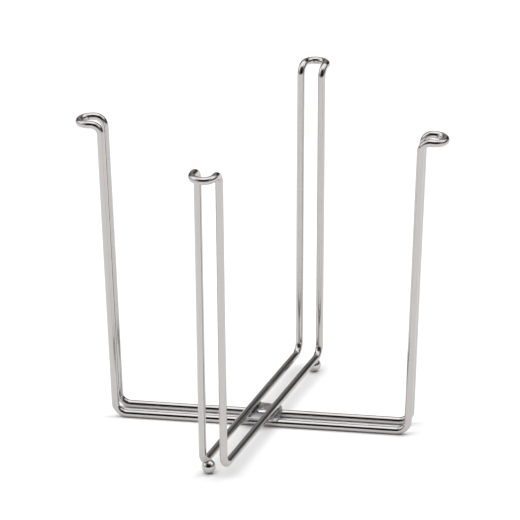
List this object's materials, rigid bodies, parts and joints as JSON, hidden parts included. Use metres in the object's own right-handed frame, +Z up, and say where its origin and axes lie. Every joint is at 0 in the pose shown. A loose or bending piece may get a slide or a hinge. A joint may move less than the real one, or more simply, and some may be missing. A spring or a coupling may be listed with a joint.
{
  "type": "plastic bag holder",
  "caption": "Folding countertop stand of polished wire: crossed U-shaped loops on a riveted pivot, with outward hooks that hold a thin bag open.",
  "frame": {"origin": "on the table, under the rivet at the middle of the base", "axes": "+Z up, +X along the outer loop's base towards its right leg, +Y towards the back"},
  "size_m": [0.2432, 0.2182, 0.2189],
  "materials": {
    "polished_wire": "polished stainless steel wire",
    "pivot_plate": "rolled stainless sheet, lightly tumbled",
    "rivet": "bright stainless steel",
    "nylon": "natural nylon",
    "ball": "mirror-polished ball"
  },
  "bodies": {
    "outer_frame": {"outer_wire_loop": "polished_wire", "lower_pivot_plate": "pivot_plate", "slip_washer": "nylon", "rivet_tail_washer": "rivet", "pivot_rivet": "rivet"},
    "inner_frame": {"inner_wire_loop": "polished_wire", "upper_pivot_plate": "pivot_plate", "front_ball_foot": "ball", "back_ball_foot": "ball"}
  },
  "joints": [
    {"name": "fold", "type": "hinge", "parent": "outer_frame", "child": "inner_frame", "pos_m": [0, 0, 0.006], "axis": [0, 0, 1], "range_deg": [-64, 95]}
  ]
}
